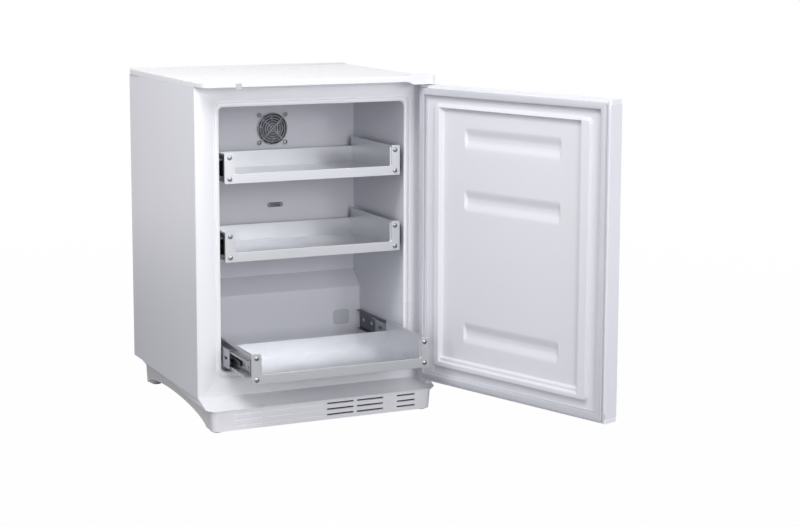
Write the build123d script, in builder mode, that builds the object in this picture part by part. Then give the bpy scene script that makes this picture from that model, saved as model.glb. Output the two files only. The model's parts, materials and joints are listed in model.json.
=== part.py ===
# Medicine refrigerator: a foamed cabinet on a moulded base, with a door that stands
# open, three drawers on telescopic slides, a circulation fan and an absorption
# cooling unit behind. Millimetres: X to the right, Y to the rear, Z up. The origin
# is on the floor under the middle of the front frame, whose face is the plane Y = 0.
import os
from math import cos, radians, sin

from build123d import *

os.makedirs("parts", exist_ok=True)

# Cabinet
cabinet_width = 422
cabinet_height = 585
base_height = 50
shell_top = cabinet_height - 13
overhang = 44
body_depth = 308
rear_depth = body_depth + 62
sheet = 1
frame_thickness = 2.5
liner_wall = 2
stile = 42
opening_width = cabinet_width - 2 * stile
opening_bottom = base_height + 42.3
opening_top = cabinet_height - 46.3
opening_corner = 10
rear_foam = 46
duct_depth = 42
cavity_depth = body_depth - rear_foam - duct_depth - liner_wall
step_depth = 28
step_height = opening_bottom + 117.7
seat_gap = 0.3

# Base pedestal
base_overhang = overhang + 5
ledge_front = 38
ledge_drop = base_height - ledge_front
base_wall = 3
base_front_corner = 14
base_rear_corner = 12
base_rear_width = cabinet_width - 26
base_rear = rear_depth - 15
lip_bottom = 40
flare_bottom = 34
skirt_bottom = 3
lip_inset = 8
skirt_inset = 11
pad_height = 2
pad_radius = 8
foot_radius = 12
arch_middle = rear_depth / 2 - 19
arch_half = 174
arch_rise = 24
slot_length = 50
slot_height = 3
slot_spacing = 55.5
slot_heights = (11.5, 21, 31)
groove_spots = (-138, slot_spacing - 138, 2 * slot_spacing - 138)
groove_depth = 0.8
grille_spots = (3 * slot_spacing - 138, 4 * slot_spacing - 138)
side_grille_x = cabinet_width / 2 - 59
side_slot_length = 35

# Worktop cover
trim_bottom = cabinet_height - 10.6
trim_top = cabinet_height - 1.5
worktop = cabinet_height - 4
rear_rim = cabinet_height - 2
edge_round = 6
worktop_corner = 12
hinge_block_width = 51
hinge_block_bottom = cabinet_height - 15.5
keeper_x = 61.5 - cabinet_width / 2
keeper_width = 10.5

# Door
door_width = cabinet_width
door_bottom = base_height + 1.6
door_top = cabinet_height - 17.4
door_open = 108.6
hinge_x = cabinet_width / 2 - 5.4
hinge_y = 18.9 - overhang
door_inner = 16.5
door_outer = -10.5
skin = 0.8
cap_height = 8
door_sheet = 1.5
rim_height = 5
rim_outer_width = door_width - 68
rim_bottom = door_bottom + 27.4
rim_top = door_top - 28.6
rim_side = 11
rim_end = 4
rim_draft = 2.5
panel_recess = 3
panel_slope = 8
panel_slope_end = 2.5
rib_width = rim_outer_width - 139
rib_height = 34
rib_slope_end = 4
rib_slope = 12
rib_depth = 4
rib_heights = (rim_bottom + 71, rim_top - 161, rim_top - 56)
gasket_width = 14
gasket_height = 8.1
gasket_inset = 4
pin_radius = 3
bush_radius = 4.5
bush_length = 14
running_gap = 0.06

# Drawers: the height of the middle of each front panel
drawer_half = opening_width / 2 - 8.5
front_height = 52
front_plate = 2
slide_setback = 12
front_rail = 16.5
front_end = 15.5
screw_x = drawer_half - 9.3
screw_spacing = 35.9
tray_half = drawer_half - 4.5
tray_wall = 48
tray_back = 30
tray_rim = 4.5
slide_half_height = 17.5
slide_steel = 1.2
slide_gap = 0.3
upper_front = -2
upper_depth = cavity_depth - 22
lower_front = 22
lower_depth = cavity_depth - step_depth - 28
lower_pull = 144
drawer_heights = {
    "top": opening_top - 102,
    "middle": opening_top - 234.3,
    "bottom": opening_bottom + 29.7,
}

# Fan and air path
fan_x = 9
fan_z = opening_top - 61.7
fan_size = 60
fan_depth = 15
fan_bore = 28
fan_pitch = 50
blade_count = 7
vent_x = 14
vent_z = drawer_heights["middle"] + 34.1
vent_length = 31
vent_height = 9
sensor_x = opening_width / 2 - 37
sensor_z = opening_bottom + 34.7
sensor_width = 31
sensor_height = 27

# Cooling unit
strap_thickness = 4
strap_width = 20
tank_radius = 24
tank_length = 220
tube_radius = 6
coil_pitch = 26
coil_runs = 4
coil_end = 30
coil_riser = 60
fin_count = 16
fin_pitch = 15
fin_size = 50
fin_shift = 15

half = cabinet_width / 2
slide_back = opening_width / 2
strap_face = body_depth + strap_thickness + seat_gap

pieces = {}


def keep(name, part):
    part.label = name
    pieces[name] = part


def cavity_form(grow):
    """The drawer space with its stepped back wall, larger all round by grow."""
    low, high = opening_bottom - grow, opening_top + grow
    back = cavity_depth + grow
    lower_back = back - step_depth
    slope_shift = grow * (2**0.5 - 1)
    with BuildPart() as form:
        with BuildSketch(Plane.YZ) as side:
            with BuildLine():
                Polyline(
                    (0, low),
                    (lower_back, low),
                    (lower_back, step_height - step_depth - slope_shift),
                    (back, step_height - slope_shift),
                    (back, high),
                    (0, high),
                    close=True,
                )
            make_face()
        extrude(amount=opening_width / 2 + grow, both=True)
        corners = form.edges().filter_by(Axis.Y)
        fillet(corners, opening_corner + grow)
    return form.part


# Front frame around the opening
frame_height = shell_top - base_height
frame_middle = (shell_top + base_height) / 2
with BuildPart() as front_frame:
    with BuildSketch(Plane.XZ):
        with Locations((0, frame_middle)):
            Rectangle(cabinet_width, frame_height)
    extrude(amount=-frame_thickness)
    fillet(front_frame.edges().filter_by(Axis.Z).group_by(Axis.Y)[0], 1.2)
    add(cavity_form(0), mode=Mode.SUBTRACT)
keep("front_frame", front_frame.part)

# Inner liner: the walls of the drawer space behind the frame
with BuildPart() as inner_liner:
    add(cavity_form(liner_wall))
    add(cavity_form(0), mode=Mode.SUBTRACT)
    with BuildSketch(Plane.XZ):
        with Locations((0, frame_middle)):
            Rectangle(cabinet_width, frame_height)
    extrude(amount=-frame_thickness, mode=Mode.SUBTRACT)
    with BuildSketch(Plane.XZ.offset(-cavity_depth)):
        with Locations((fan_x, fan_z)):
            Circle(fan_bore)
        with Locations((vent_x, vent_z)):
            SlotOverall(vent_length, vent_height)
    extrude(amount=-liner_wall, mode=Mode.SUBTRACT)
keep("inner_liner", inner_liner.part)

# Foam between the liner and the outer sheets, with the air duct behind the fan
duct_low, duct_high = vent_z - 10, fan_z + fan_size / 2 + 2
duct_width = fan_size + 40
with BuildPart() as foam:
    with BuildSketch(Plane.XZ.offset(-frame_thickness)):
        with Locations((0, frame_middle)):
            Rectangle(cabinet_width - 2 * sheet, frame_height)
    extrude(amount=frame_thickness - body_depth + sheet)
    add(cavity_form(liner_wall), mode=Mode.SUBTRACT)
    with BuildSketch(Plane.XZ.offset(-cavity_depth - liner_wall)):
        with Locations((fan_x, (duct_low + duct_high) / 2)):
            Rectangle(duct_width, duct_high - duct_low)
    extrude(amount=-duct_depth, mode=Mode.SUBTRACT)
keep("insulation_foam", foam.part)

# Side panels, one bent sheet each with a flange at the rear
flange = 14
for side, name in ((-1, "left_side_panel"), (1, "right_side_panel")):
    with BuildPart() as panel:
        with BuildSketch(Plane.XY.offset(base_height)):
            with Locations((side * (half - sheet / 2), (frame_thickness + body_depth + sheet) / 2)):
                Rectangle(sheet, body_depth + sheet - frame_thickness)
            with Locations((side * (half - flange / 2), body_depth + sheet / 2)):
                Rectangle(flange, sheet)
        extrude(amount=frame_height)
    keep(name, panel.part)

# Rear cover behind the foam
with BuildPart() as rear_cover:
    with BuildSketch(Plane.XZ.offset(sheet - body_depth)):
        with Locations((0, frame_middle)):
            Rectangle(cabinet_width - 2 * sheet, frame_height)
    extrude(amount=-sheet)
keep("rear_cover", rear_cover.part)

# Rear wings that frame the cooling unit
wing_front = body_depth + sheet
wing_flange = 22
wing_inset = 2
for side, name in ((-1, "left_rear_wing"), (1, "right_rear_wing")):
    wing_x = side * (half - wing_inset)
    with BuildPart() as wing:
        with BuildSketch(Plane.XY.offset(base_height)):
            with Locations((wing_x - side * sheet / 2, (wing_front + rear_depth) / 2)):
                Rectangle(sheet, rear_depth - wing_front)
            with Locations((wing_x - side * wing_flange / 2, rear_depth - sheet / 2)):
                Rectangle(wing_flange, sheet)
            with Locations((wing_x - side * flange / 2, wing_front + sheet / 2)):
                Rectangle(flange, sheet)
        extrude(amount=frame_height)
    keep(name, wing.part)


def base_outline(inset):
    """Plan of the base, drawn in by inset at the sides: narrower at the rear."""
    front_x = half - inset
    rear_x = base_rear_width / 2 - inset / 2
    front_y, rear_y = inset / 4 - base_overhang, base_rear - inset / 4
    with BuildLine() as rim:
        Polyline(
            (-front_x, front_y),
            (front_x, front_y),
            (rear_x, rear_y),
            (-rear_x, rear_y),
            close=True,
        )
    outline = make_face(rim.line)
    front_corners = outline.vertices().group_by(Axis.Y)[0]
    outline = fillet(front_corners, base_front_corner - inset / 4)
    rear_corners = outline.vertices().group_by(Axis.Y)[-1]
    return fillet(rear_corners, base_rear_corner - inset / 4)


# Base pedestal: hollow moulding with a lip, side arches, a grille and a sloping ledge
ledge_fall = ledge_drop / base_overhang
front_hollow = ledge_front - base_wall
rear_hollow = base_height - base_wall
with BuildSketch() as hollow:
    add(base_outline(skirt_inset))
    offset(amount=-base_wall)
with BuildPart() as base:
    levels = ((skirt_bottom, skirt_inset), (flare_bottom, lip_inset), (lip_bottom, 0), (base_height, 0))
    for (low, low_inset), (high, high_inset) in zip(levels, levels[1:]):
        with BuildSketch(Plane.XY.offset(low)):
            add(base_outline(low_inset))
        with BuildSketch(Plane.XY.offset(high)):
            add(base_outline(high_inset))
        loft(ruled=True)
    with BuildSketch(Plane.YZ):
        with BuildLine():
            Polyline(
                (0, base_height),
                (-base_overhang - 2, base_height),
                (-base_overhang - 2, ledge_front - 2 * ledge_fall),
                close=True,
            )
        make_face()
    extrude(amount=cabinet_width, both=True, mode=Mode.SUBTRACT)
    with BuildSketch(Plane.XY):
        add(hollow.sketch)
    extrude(amount=front_hollow, mode=Mode.SUBTRACT)
    with BuildSketch(Plane.XY.offset(front_hollow)):
        add(hollow.sketch)
        with Locations((0, -base_overhang)):
            Rectangle(cabinet_width, 2 * base_overhang + 2 * base_wall, mode=Mode.SUBTRACT)
    extrude(amount=rear_hollow - front_hollow, mode=Mode.SUBTRACT)
    with BuildSketch(Plane.YZ):
        with Locations((arch_middle, 0)):
            Ellipse(arch_half, arch_rise)
    extrude(amount=cabinet_width, both=True, mode=Mode.SUBTRACT)
    with BuildSketch(Plane.XZ.offset(-rear_depth)):
        with Locations((0, rear_hollow / 2)):
            Rectangle(base_rear_width - 80, rear_hollow)
    extrude(amount=rear_depth / 2, mode=Mode.SUBTRACT)
    front_feet = [(side * (half - 23), 18 - base_overhang) for side in (-1, 1)]
    rear_feet = [(side * (base_rear_width / 2 - 20), base_rear - 20) for side in (-1, 1)]
    for spots, top in ((front_feet, front_hollow), (rear_feet, rear_hollow)):
        with BuildSketch(Plane.XY.offset(pad_height)):
            with Locations(*spots):
                Circle(foot_radius)
        extrude(amount=top - pad_height)
    # Open slots of the grille, then the blind grooves beside them
    with BuildSketch(Plane.XZ.offset(base_overhang)):
        for height in slot_heights:
            with Locations(*[(x, height) for x in grille_spots]):
                SlotOverall(slot_length, slot_height)
            with Locations((side_grille_x, height)):
                SlotOverall(side_slot_length, slot_height)
    extrude(amount=-2 * base_wall - skirt_inset / 4, mode=Mode.SUBTRACT)
    for height in slot_heights:
        lean = (flare_bottom - height) / (flare_bottom - skirt_bottom)
        face_inset = (lip_inset + lean * (skirt_inset - lip_inset)) / 4
        with BuildSketch(Plane.XZ.offset(base_overhang)):
            with Locations(*[(x, height) for x in groove_spots]):
                SlotOverall(slot_length, slot_height)
        extrude(amount=-face_inset - groove_depth, mode=Mode.SUBTRACT)
keep("base_pedestal", base.part)

# Dark screen behind the open slots
screen_left, screen_right = grille_spots[0] - slot_length / 2 - 4, side_grille_x + 22
screen_low, screen_high = skirt_bottom + 3, front_hollow - seat_gap
with BuildPart() as screen:
    with BuildSketch(Plane.XZ.offset(base_overhang - skirt_inset / 4 - base_wall)):
        with Locations(((screen_left + screen_right) / 2, (screen_low + screen_high) / 2)):
            Rectangle(screen_right - screen_left, screen_high - screen_low)
    extrude(amount=-sheet)
keep("grille_screen", screen.part)

with BuildPart() as pads:
    with BuildSketch():
        with Locations(*front_feet, *rear_feet):
            Circle(pad_radius)
    extrude(amount=pad_height)
keep("foot_pads", pads.part)

# Worktop cover: front trim, recessed top, rear rim and the block over the hinge
block_left = half - hinge_block_width
with BuildPart() as cover:
    with BuildSketch(Plane.YZ.offset(-half)):
        with BuildLine():
            Polyline(
                (-overhang, trim_bottom),
                (-overhang, trim_top - 2),
                (2 - overhang, trim_top),
                (16 - overhang, trim_top),
                (26 - overhang, worktop),
                (rear_depth - 26, worktop),
                (rear_depth - 18, rear_rim),
                (rear_depth - 6, rear_rim),
                (rear_depth, rear_rim - 5),
                (rear_depth, shell_top),
                (0, shell_top),
                (0, trim_bottom),
                close=True,
            )
        make_face()
    extrude(amount=cabinet_width)
    with BuildSketch(Plane.XZ.offset(overhang)):
        with BuildLine():
            Polyline(
                (block_left - 4, trim_bottom),
                (block_left + 6, hinge_block_bottom),
                (half, hinge_block_bottom),
                (half, cabinet_height),
                (block_left + 2, cabinet_height),
                (block_left - 4, trim_top - 1),
                close=True,
            )
        make_face()
    extrude(amount=6 - overhang)
    with BuildSketch(Plane.XZ.offset(overhang)):
        with BuildLine():
            Polyline((-half, hinge_block_bottom), (half, hinge_block_bottom))
            Line((half, hinge_block_bottom), (half, cabinet_height - edge_round))
            RadiusArc(
                (half, cabinet_height - edge_round), (half - edge_round, cabinet_height), -edge_round
            )
            Line((half - edge_round, cabinet_height), (edge_round - half, cabinet_height))
            RadiusArc(
                (edge_round - half, cabinet_height), (-half, cabinet_height - edge_round), -edge_round
            )
            Line((-half, cabinet_height - edge_round), (-half, hinge_block_bottom))
        make_face()
    extrude(amount=-overhang - rear_depth, mode=Mode.INTERSECT)
    with BuildSketch(Plane.XY.offset(hinge_block_bottom)):
        with Locations((0, (rear_depth - overhang) / 2)):
            RectangleRounded(cabinet_width, rear_depth + overhang, worktop_corner)
    extrude(amount=cabinet_height - hinge_block_bottom, mode=Mode.INTERSECT)
keep("worktop_cover", cover.part)

with BuildPart() as keeper:
    with BuildSketch(Plane.XZ.offset(overhang)):
        with Locations((keeper_x, (trim_bottom + worktop) / 2 - 2)):
            RectangleRounded(keeper_width, keeper_width, 1)
    extrude(amount=sheet)
keep("lock_keeper", keeper.part)

# Hinges: a pin with its washer under the block, and a pin on a boss on the ledge
washer_radius = 8
pin_reach = bush_length - 1
with BuildPart() as upper_pin:
    washer_bottom = door_top + 2 * seat_gap
    with BuildSketch(Plane.XY.offset(washer_bottom)):
        with Locations((hinge_x - 2.4, hinge_y)):
            Circle(washer_radius - 2.4)
        with Locations((hinge_x, hinge_y)):
            Circle(pin_radius)
    extrude(amount=hinge_block_bottom - washer_bottom)
    with BuildSketch(Plane.XY.offset(door_top - pin_reach)):
        with Locations((hinge_x, hinge_y)):
            Circle(pin_radius)
    extrude(amount=washer_bottom - door_top + pin_reach)
keep("upper_hinge_pin", upper_pin.part)

boss_top = door_bottom - 2 * seat_gap
boss_front, boss_rear = hinge_y - 7, hinge_y + 7
boss_width = 12
with BuildPart() as lower_hinge:
    with BuildSketch(Plane.YZ.offset(half - sheet - boss_width)):
        with BuildLine():
            Polyline(
                (boss_front, base_height + boss_front * ledge_fall),
                (boss_rear, base_height + boss_rear * ledge_fall),
                (boss_rear, boss_top),
                (boss_front, boss_top),
                close=True,
            )
        make_face()
    extrude(amount=boss_width)
    fillet(lower_hinge.edges().filter_by(Axis.Z), 3)
    with BuildSketch(Plane.XY.offset(boss_top)):
        with Locations((hinge_x, hinge_y)):
            Circle(pin_radius)
    extrude(amount=pin_reach)
keep("lower_hinge", lower_hinge.part)

# Door, modelled in its own axes: from the hinge pin, along the door's width, and
# from its outer face to its inner face
turn = radians(door_open)
door_x = Vector(cos(turn), sin(turn), 0)
door_y = Vector(-sin(turn), cos(turn), 0)
hinge = Vector(hinge_x, hinge_y, 0)
door_middle = -hinge_x
door_height = door_top - door_bottom
skin_bottom, skin_top = door_bottom + cap_height, door_top - cap_height


def door_level(height):
    """Horizontal plane at this height, with its origin on the hinge axis."""
    return Plane(origin=hinge + Vector(0, 0, height), x_dir=door_x, z_dir=(0, 0, 1))


def door_face(depth):
    """Plane parallel to the door, seen from outside, with its origin at the floor."""
    return Plane(origin=hinge + door_y * depth, x_dir=door_x, z_dir=-door_y)


def door_slab(low, high, back, front, trim=0):
    """A plain slab of the door between two heights and two depths."""
    with BuildPart() as slab:
        with BuildSketch(door_level(low)):
            with Locations((door_middle, (back + front) / 2)):
                Rectangle(door_width - 2 * trim, front - back)
        extrude(amount=high - low)
    return slab.part


def door_relief(back):
    """Foam core with the inner face's rim, sunk panel and ribs, shifted outwards by back."""
    face = door_inner - back
    rim_middle = (rim_bottom + rim_top) / 2
    rim_outer = (rim_outer_width, rim_top - rim_bottom)
    rim_inner = (rim_outer_width - 2 * rim_side, rim_outer[1] - 2 * rim_end)
    with BuildPart() as relief:
        add(door_slab(skin_bottom, skin_top, door_outer + skin, face, skin))
        with BuildSketch(door_face(face)):
            with Locations((door_middle, rim_middle)):
                RectangleRounded(*rim_outer, 14)
        with BuildSketch(door_face(face + rim_height)):
            with Locations((door_middle, rim_middle)):
                RectangleRounded(rim_outer[0] - 2 * rim_draft, rim_outer[1] - 2 * rim_draft, 12)
        loft(ruled=True)
        with BuildSketch(door_face(face + rim_height)):
            with Locations((door_middle, rim_middle)):
                RectangleRounded(*rim_inner, 8)
        with BuildSketch(door_face(face - panel_recess)):
            with Locations((door_middle, rim_middle)):
                RectangleRounded(
                    rim_inner[0] - 2 * panel_slope, rim_inner[1] - 2 * panel_slope_end, 6
                )
        loft(ruled=True, mode=Mode.SUBTRACT)
        for height in rib_heights:
            with BuildSketch(door_face(face - panel_recess)):
                with Locations((door_middle, height)):
                    RectangleRounded(rib_width, rib_height, 5)
            with BuildSketch(door_face(face - panel_recess - rib_depth)):
                with Locations((door_middle, height)):
                    RectangleRounded(
                        rib_width - 2 * rib_slope_end, rib_height - 2 * rib_slope, 3
                    )
            loft(ruled=True, mode=Mode.SUBTRACT)
    return relief.part


def bush_holes(low, high):
    """The space of a hinge bush between two heights."""
    with BuildPart() as hole:
        with BuildSketch(door_level(low)):
            Circle(bush_radius + running_gap)
        extrude(amount=high - low)
    return hole.part


with BuildPart() as door_skin:
    with BuildSketch(door_level(skin_bottom)):
        with Locations((door_middle, (door_inner + door_outer) / 2)):
            outer = Rectangle(door_width, door_inner - door_outer)
        fillet(outer.vertices().group_by(Axis((0, 0, 0), tuple(door_y)))[0], 3)
        with Locations((door_middle, (door_inner + door_outer + skin) / 2)):
            Rectangle(door_width - 2 * skin, door_inner - door_outer - skin, mode=Mode.SUBTRACT)
    extrude(amount=skin_top - skin_bottom)
keep("door_outer_skin", door_skin.part)

with BuildPart() as door_liner:
    add(door_relief(0))
    add(door_relief(door_sheet), mode=Mode.SUBTRACT)
keep("door_inner_liner", door_liner.part)

with BuildPart() as door_foam:
    add(door_relief(door_sheet))
    add(bush_holes(door_bottom, door_bottom + bush_length), mode=Mode.SUBTRACT)
    add(bush_holes(door_top - bush_length, door_top), mode=Mode.SUBTRACT)
keep("door_foam", door_foam.part)

for name, low in (("door_bottom_cap", door_bottom), ("door_top_cap", skin_top)):
    with BuildPart() as cap:
        with BuildSketch(door_level(low)):
            with Locations((door_middle, (door_inner + door_outer) / 2)):
                RectangleRounded(door_width, door_inner - door_outer, 2.5)
        extrude(amount=cap_height)
        add(bush_holes(low - 1, low + cap_height + 1), mode=Mode.SUBTRACT)
    keep(name, cap.part)

with BuildPart() as bushes:
    for low in (door_bottom, door_top - bush_length):
        with BuildSketch(door_level(low)):
            Circle(bush_radius)
            Circle(pin_radius + running_gap, mode=Mode.SUBTRACT)
        extrude(amount=bush_length)
keep("hinge_bushes", bushes.part)

with BuildPart() as gasket:
    gasket_middle = (door_top + door_bottom) / 2
    gasket_outer = (door_width - 2 * gasket_inset, door_height - 2 * gasket_inset)
    for lift, inset, height in ((0, 0, 0.55 * gasket_height), (0.55 * gasket_height, 3, 0.45 * gasket_height)):
        with BuildSketch(door_face(door_inner + lift)):
            with Locations((door_middle, gasket_middle)):
                Rectangle(gasket_outer[0] - 2 * inset, gasket_outer[1] - 2 * inset)
                Rectangle(
                    gasket_outer[0] - 2 * gasket_width + inset,
                    gasket_outer[1] - 2 * gasket_width + inset,
                    mode=Mode.SUBTRACT,
                )
        extrude(amount=-height)
keep("door_gasket", gasket.part)


def drawer_tray(front, low, depth):
    """One folded sheet: floor, side walls with rims, back and flanges behind the front."""
    tray_front = front + front_plate
    width = 2 * tray_half
    with BuildPart() as tray:
        with BuildSketch(Plane.XZ.offset(-tray_front)):
            with Locations((0, low + tray_wall / 2 + sheet)):
                Rectangle(width, tray_wall)
            with Locations((0, low + tray_wall / 2 + 2 * sheet)):
                Rectangle(width - 2 * sheet, tray_wall, mode=Mode.SUBTRACT)
            rims = [(side * (width + tray_rim) / 2, low + tray_wall + sheet / 2) for side in (-1, 1)]
            with Locations(*rims):
                Rectangle(tray_rim, sheet)
        extrude(amount=-depth)
        with BuildSketch(Plane.XZ.offset(-tray_front - depth + sheet)):
            with Locations((0, low + tray_back / 2 + sheet)):
                Rectangle(width, tray_back)
        extrude(amount=-sheet)
        with BuildSketch(Plane.XZ.offset(-tray_front)):
            with Locations(*[(side * (tray_half - 7), low + tray_wall / 2 + sheet) for side in (-1, 1)]):
                Rectangle(14, tray_wall)
        extrude(amount=-sheet)
    return tray.part


def drawer_front(front, low):
    """U-shaped front panel: two end plates and a low rail between them."""
    with BuildPart() as panel:
        with BuildSketch(Plane.XZ.offset(-front - front_plate)):
            with Locations((0, low + front_height / 2)):
                Rectangle(2 * drawer_half, front_height)
            with Locations((0, low + (front_height + front_rail) / 2)):
                Rectangle(2 * (drawer_half - front_end), front_height - front_rail, mode=Mode.SUBTRACT)
        extrude(amount=front_plate)
        inner = panel.edges().filter_by(Axis.Y).group_by(Axis.Z)[1]
        fillet(inner, 4)
        ends = panel.edges().filter_by(Axis.Y).group_by(Axis.X)
        fillet(ends[0] + ends[-1], 2)
    return panel.part


def drawer_screws(front, low):
    """Round heads on the front panel."""
    with BuildPart() as screws:
        with BuildSketch(Plane.XZ.offset(-front)):
            with Locations((0, low + front_height / 2)):
                with GridLocations(2 * screw_x, screw_spacing, 2, 2):
                    Circle(4.2)
        extrude(amount=2.4, taper=25)
    return screws.part


def slide_members(web_x, lip_x, half_height, front, length, height):
    """A C-shaped slide member on each side, its web at web_x and its lips towards lip_x."""
    reach = abs(web_x - lip_x)
    inward = 1 if lip_x > web_x else -1
    with BuildPart() as members:
        with BuildSketch(Plane.XZ.offset(-front)):
            for side in (-1, 1):
                with Locations((side * (web_x + lip_x) / 2, height)):
                    Rectangle(reach, 2 * half_height)
                with Locations((side * ((web_x + lip_x) / 2 + inward * slide_steel / 2), height)):
                    Rectangle(
                        reach - slide_steel, 2 * (half_height - slide_steel), mode=Mode.SUBTRACT
                    )
        extrude(amount=-length)
    return members.part


# Drawers with their slides. The bottom drawer stands pulled out by lower_pull.
outer_lip = slide_back - 7
middle_web = slide_back - slide_steel - slide_gap
middle_lip = tray_half + 2 * slide_gap + slide_steel + 1
inner_web = tray_half + slide_gap
inner_lip = middle_web - slide_steel - slide_gap
middle_half_height = slide_half_height - slide_steel - slide_gap
inner_half_height = middle_half_height - slide_steel - slide_gap
for name, middle in drawer_heights.items():
    pulled = lower_pull if name == "bottom" else 0
    home = lower_front if name == "bottom" else upper_front
    depth = lower_depth if name == "bottom" else upper_depth
    low = middle - front_height / 2
    front = home - pulled
    slide_front = home + front_plate + slide_setback
    rail = (depth - slide_setback, low + sheet + tray_wall / 2)
    keep(f"{name}_drawer_tray", drawer_tray(front, low, depth))
    keep(f"{name}_drawer_front", drawer_front(front, low))
    keep(f"{name}_drawer_screws", drawer_screws(front, low))
    keep(
        f"{name}_slide_outer_members",
        slide_members(slide_back, outer_lip, slide_half_height, slide_front, *rail),
    )
    keep(
        f"{name}_slide_middle_members",
        slide_members(middle_web, middle_lip, middle_half_height, slide_front - pulled / 2, *rail),
    )
    keep(
        f"{name}_slide_inner_members",
        slide_members(inner_web, inner_lip, inner_half_height, slide_front - pulled, *rail),
    )

# Fan behind the back wall: frame with a hub on three struts
liner_back = cavity_depth + liner_wall
hub_radius = 11
strut_depth = 3
shaft_radius = 1.5
with BuildPart() as fan_frame:
    with BuildSketch(Plane.XZ.offset(-liner_back)):
        with Locations((fan_x, fan_z)):
            RectangleRounded(fan_size, fan_size, 4)
            Circle(fan_bore, mode=Mode.SUBTRACT)
    extrude(amount=-fan_depth)
    with BuildSketch(Plane.XZ.offset(strut_depth - liner_back - fan_depth)):
        with Locations((fan_x, fan_z)):
            Circle(hub_radius)
            for spoke in range(3):
                with Locations(Location((0, 0, 0), (0, 0, 120 * spoke + 30))):
                    with Locations((fan_size / 4, 0)):
                        Rectangle(fan_size / 2 - 1, 4)
            Circle(shaft_radius + running_gap, mode=Mode.SUBTRACT)
    extrude(amount=-strut_depth)
keep("fan_housing", fan_frame.part)

rotor_front = liner_back + 2
rotor_depth = 9
blade_tip = fan_bore - 1.2
with BuildPart() as rotor:
    with BuildSketch(Plane.XZ.offset(-rotor_front)):
        with Locations((fan_x, fan_z)):
            Circle(hub_radius)
    extrude(amount=-rotor_depth)
    with BuildSketch(Plane.XZ.offset(-rotor_front)):
        with Locations((fan_x, fan_z)):
            Circle(shaft_radius)
    extrude(amount=rotor_front - liner_back - fan_depth)
    for blade in range(blade_count):
        angle = radians(360 / blade_count * blade)
        radial = Vector(cos(angle), 0, sin(angle))
        for radius, pitch in ((hub_radius - 1, 45), (blade_tip, 30)):
            centre = Vector(fan_x, rotor_front + rotor_depth / 2, fan_z) + radial * radius
            with BuildSketch(Plane(origin=centre, x_dir=(0, 1, 0), z_dir=radial)):
                Rectangle(11, 1.2, rotation=pitch)
        loft()
keep("fan_rotor", rotor.part)

ring_width = 1.8
guard_front = cavity_depth - 2
with BuildPart() as guard:
    with BuildSketch(Plane.XZ.offset(-guard_front)):
        with Locations((fan_x, fan_z)):
            for ring in range(4):
                radius = fan_bore + 1 - ring * 6.2
                Circle(radius)
                Circle(radius - ring_width, mode=Mode.SUBTRACT)
            Circle(5)
            for spoke in (45, 135):
                with Locations(Location((0, 0, 0), (0, 0, spoke))):
                    SlotOverall(fan_pitch * 2**0.5 + 7, 3)
            with GridLocations(fan_pitch, fan_pitch, 2, 2):
                Circle(3.6)
    extrude(amount=guard_front - cavity_depth)
keep("fan_guard", guard.part)

with BuildPart() as guard_screws:
    with BuildSketch(Plane.XZ.offset(-guard_front)):
        with Locations((fan_x, fan_z)):
            with GridLocations(fan_pitch, fan_pitch, 2, 2):
                Circle(2.8)
    extrude(amount=1.8, taper=20)
keep("fan_guard_screws", guard_screws.part)

with BuildPart() as vent:
    with BuildSketch(Plane.XZ.offset(seat_gap - cavity_depth - liner_wall)):
        with Locations((vent_x, vent_z)):
            SlotOverall(vent_length - 2 * seat_gap, vent_height - 2 * seat_gap)
            with GridLocations(0, 2.6, 1, 3):
                SlotOverall(vent_length - 10, 1.2, mode=Mode.SUBTRACT)
    extrude(amount=liner_wall - 2 * seat_gap)
keep("air_vent", vent.part)

with BuildPart() as sensor:
    with BuildSketch(Plane.XZ.offset(step_depth - cavity_depth)):
        with Locations((sensor_x, sensor_z)):
            RectangleRounded(sensor_width, sensor_height, 6)
    extrude(amount=1.6)
    fillet(sensor.faces().sort_by(Axis.Y)[0].edges(), 0.8)
keep("sensor_cover", sensor.part)

# Evaporator in the duct, with its fins towards the fan
evaporator_back = liner_back + duct_depth
evaporator_fin = 22
with BuildPart() as evaporator:
    evaporator_z = (duct_low + duct_high) / 2
    with BuildSketch(Plane.XZ.offset(-evaporator_back)):
        with Locations((fan_x, evaporator_z)):
            Rectangle(duct_width - 10, duct_high - duct_low - 10)
    extrude(amount=4)
    with BuildSketch(Plane.XZ.offset(4 - evaporator_back)):
        with Locations((fan_x, evaporator_z)):
            with GridLocations(9, 0, 9, 1):
                Rectangle(1.2, duct_high - duct_low - 20)
    extrude(amount=evaporator_fin - 4)
keep("evaporator", evaporator.part)

# Absorption cooling unit on straps behind the rear cover
strap_spots = (116 - half, 20, half - 76)
unit_bottom, unit_top = base_height + 15.5, shell_top - 22
with BuildPart() as straps:
    with BuildSketch(Plane.XZ.offset(-body_depth)):
        with Locations(*[(x, (unit_bottom + unit_top) / 2) for x in strap_spots]):
            Rectangle(strap_width, unit_top - unit_bottom)
    extrude(amount=-strap_thickness)
keep("unit_straps", straps.part)

tank_y = strap_face + tank_radius
tank_z = unit_bottom + 34
with BuildPart() as tank:
    with BuildSketch(Plane.YZ.offset(-tank_length / 2 - 10)):
        with Locations((tank_y, tank_z)):
            Circle(tank_radius)
    extrude(amount=tank_length)
    chamfer(tank.edges().filter_by(GeomType.CIRCLE), 7)
keep("absorber_tank", tank.part)

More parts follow.
